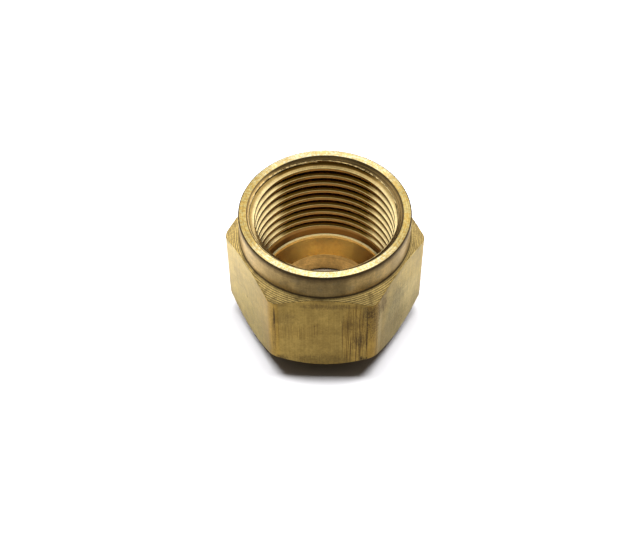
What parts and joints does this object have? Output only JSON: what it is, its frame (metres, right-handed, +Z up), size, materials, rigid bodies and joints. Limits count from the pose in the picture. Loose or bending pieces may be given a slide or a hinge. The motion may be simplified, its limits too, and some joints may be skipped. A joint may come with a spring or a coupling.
{
  "type": "flare nut",
  "caption": "Short brass flare nut: chamfered hexagon with a turned collar round an internally threaded mouth, a 45 degree flare seat inside and a plain bore for the tube.",
  "frame": {"origin": "centre of the tube-end face, which the nut stands on", "axes": "+Z up the axis and out of the threaded mouth; -Y is the outward normal of one wrench flat"},
  "size_m": [0.0362, 0.032, 0.0278],
  "materials": {
    "brass": "satin turned and drawn brass, lightly tarnished"
  },
  "bodies": {
    "root": {"flare_nut": "brass"}
  },
  "joints": []
}
